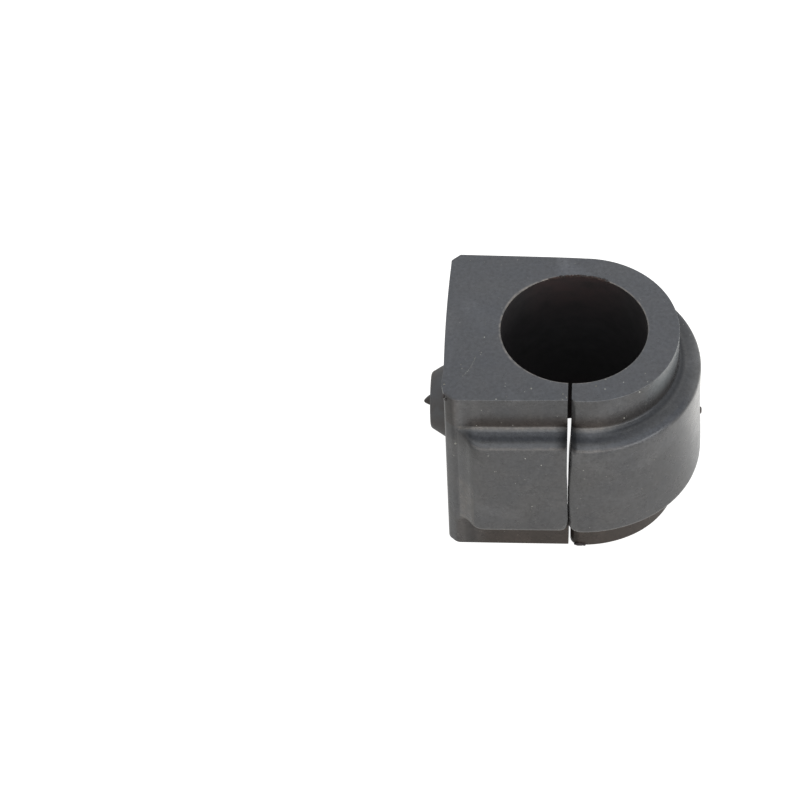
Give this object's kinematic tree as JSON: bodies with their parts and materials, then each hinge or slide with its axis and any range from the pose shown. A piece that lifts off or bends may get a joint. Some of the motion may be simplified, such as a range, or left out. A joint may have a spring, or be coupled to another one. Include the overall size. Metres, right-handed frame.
{
  "type": "sway bar bushing",
  "caption": "Split rubber bushing for a car's sway bar: flat base with a locating boss, rounded back, and a raised band that seats in a clamp bracket.",
  "frame": {"origin": "centre of the bar bore, at mid-length on the bar's axis", "axes": "+Z along the bar, +X from the flat base to the rounded back, and the split on the -Y side; the bushing stands on its -Z end"},
  "size_m": [0.0478, 0.041, 0.0372],
  "materials": {
    "rubber": "satin"
  },
  "bodies": {
    "root": {"bushing": "rubber"}
  },
  "joints": []
}
